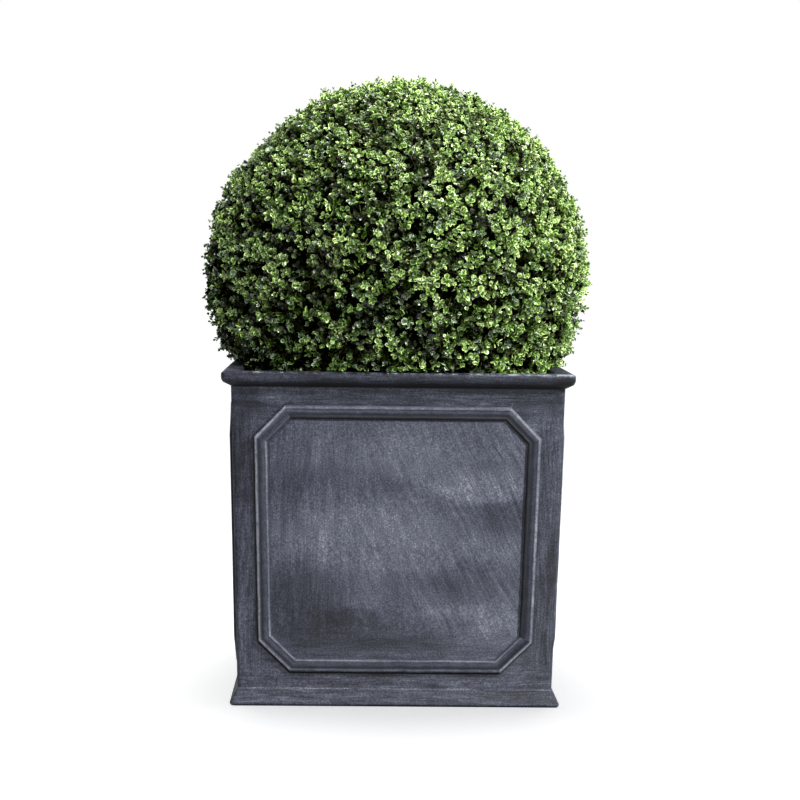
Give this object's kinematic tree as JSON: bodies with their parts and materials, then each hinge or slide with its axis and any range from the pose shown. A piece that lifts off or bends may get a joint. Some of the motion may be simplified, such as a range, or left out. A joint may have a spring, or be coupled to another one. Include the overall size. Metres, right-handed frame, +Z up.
{
  "type": "artificial box topiary ball in a square planter",
  "caption": "Clipped ball of small round box leaves standing in a square tapering planter with a moulded rim, a plinth and an octagonal raised band on each face.",
  "frame": {"origin": "centre of the planter's flat underside", "axes": "+Z up through the middle of the ball; -Y out of the face that is seen from the front; +X to its right"},
  "size_m": [0.664, 0.664, 1.024],
  "materials": {
    "lead_look_casting": "matte",
    "soil": "matte",
    "bark": "matte",
    "leaves": "satin"
  },
  "bodies": {
    "root": {"planter": "lead_look_casting", "potting_soil": "soil", "stem": "bark", "foliage_ball": "leaves"}
  },
  "joints": []
}
